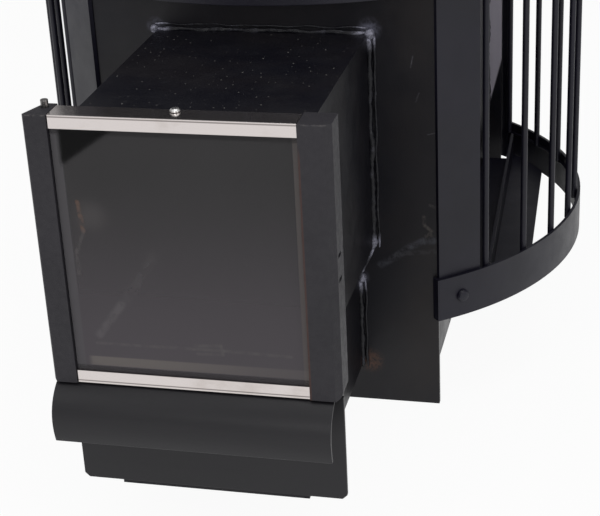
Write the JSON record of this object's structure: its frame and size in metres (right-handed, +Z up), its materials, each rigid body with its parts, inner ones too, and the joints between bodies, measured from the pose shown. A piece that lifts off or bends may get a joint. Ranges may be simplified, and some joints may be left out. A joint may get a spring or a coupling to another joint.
{
  "type": "wood-burning sauna stove",
  "caption": "Wood-burning sauna stove: a steel firebox inside a round open stone cage, with a fire tunnel ending in a hinged glass door above a pull-out ash drawer.",
  "frame": {"origin": "middle of the footprint on the floor", "axes": "+X to the stove's right as seen by someone facing its door, +Y to the back, +Z up; the door faces -Y"},
  "size_m": [0.53, 0.7438, 0.74],
  "materials": {
    "cage_coat": "satin",
    "firebox_steel": "matte",
    "door_coat": "matte",
    "drawer_coat": "satin",
    "stainless": "polished",
    "zinc": "satin",
    "door_glass": "gloss",
    "seal_rope": "matte",
    "grate_iron": "matte"
  },
  "bodies": {
    "stove": {"ash_duct": "firebox_steel", "bar_front_1": "cage_coat", "bar_front_2": "cage_coat", "bar_front_3": "cage_coat", "bar_left_1": "cage_coat", "bar_left_2": "cage_coat", "bar_left_3": "cage_coat", "bar_left_4": "cage_coat", "bar_left_5": "cage_coat", "bar_left_6": "cage_coat", "bar_left_7": "cage_coat", "bar_left_8": "cage_coat", "bar_left_9": "cage_coat", "bar_rear_1": "cage_coat", "bar_rear_2": "cage_coat", "bar_rear_3": "cage_coat", "bar_right_1": "cage_coat", "bar_right_2": "cage_coat", "bar_right_3": "cage_coat", "bar_right_4": "cage_coat", "bar_right_5": "cage_coat", "bar_right_6": "cage_coat", "bar_right_7": "cage_coat", "bar_right_8": "cage_coat", "bar_right_9": "cage_coat", "fire_tunnel": "firebox_steel", "firebox_cover": "firebox_steel", "firebox_floor": "firebox_steel", "firebox_front": "firebox_steel", "firebox_left": "firebox_steel", "firebox_rear": "firebox_steel", "firebox_right": "firebox_steel", "flue_collar": "firebox_steel", "front_band": "cage_coat", "front_frame": "firebox_steel", "grate": "grate_iron", "hearth_plate": "firebox_steel", "hinge_pin": "zinc", "hoop_bolt_front_left": "cage_coat", "hoop_bolt_front_right": "cage_coat", "hoop_bolt_rear_left": "cage_coat", "hoop_bolt_rear_right": "cage_coat", "hoop_bottom": "cage_coat", "hoop_top": "cage_coat", "post_front_left": "cage_coat", "post_front_right": "cage_coat", "post_rear_left": "cage_coat", "post_rear_right": "cage_coat", "stone_shelf_left": "cage_coat", "stone_shelf_right": "cage_coat"},
    "door": {"door_post_left": "door_coat", "door_post_right": "door_coat", "door_trim_top": "stainless", "door_trim_bottom": "stainless", "trim_screw": "zinc", "door_glass": "door_glass", "door_seal": "seal_rope"},
    "ash_drawer": {"drawer_front": "drawer_coat", "drawer_lip": "drawer_coat", "ash_tray": "firebox_steel"}
  },
  "joints": [
    {"name": "door_hinge", "type": "hinge", "parent": "stove", "child": "door", "pos_m": [-0.105, -0.33811, 0.147], "axis": [0, 0, -1], "range_deg": [0, 100]},
    {"name": "ash_drawer_slide", "type": "slide", "parent": "stove", "child": "ash_drawer", "axis": [0, -1, 0], "range_m": [0, 0.3]}
  ]
}
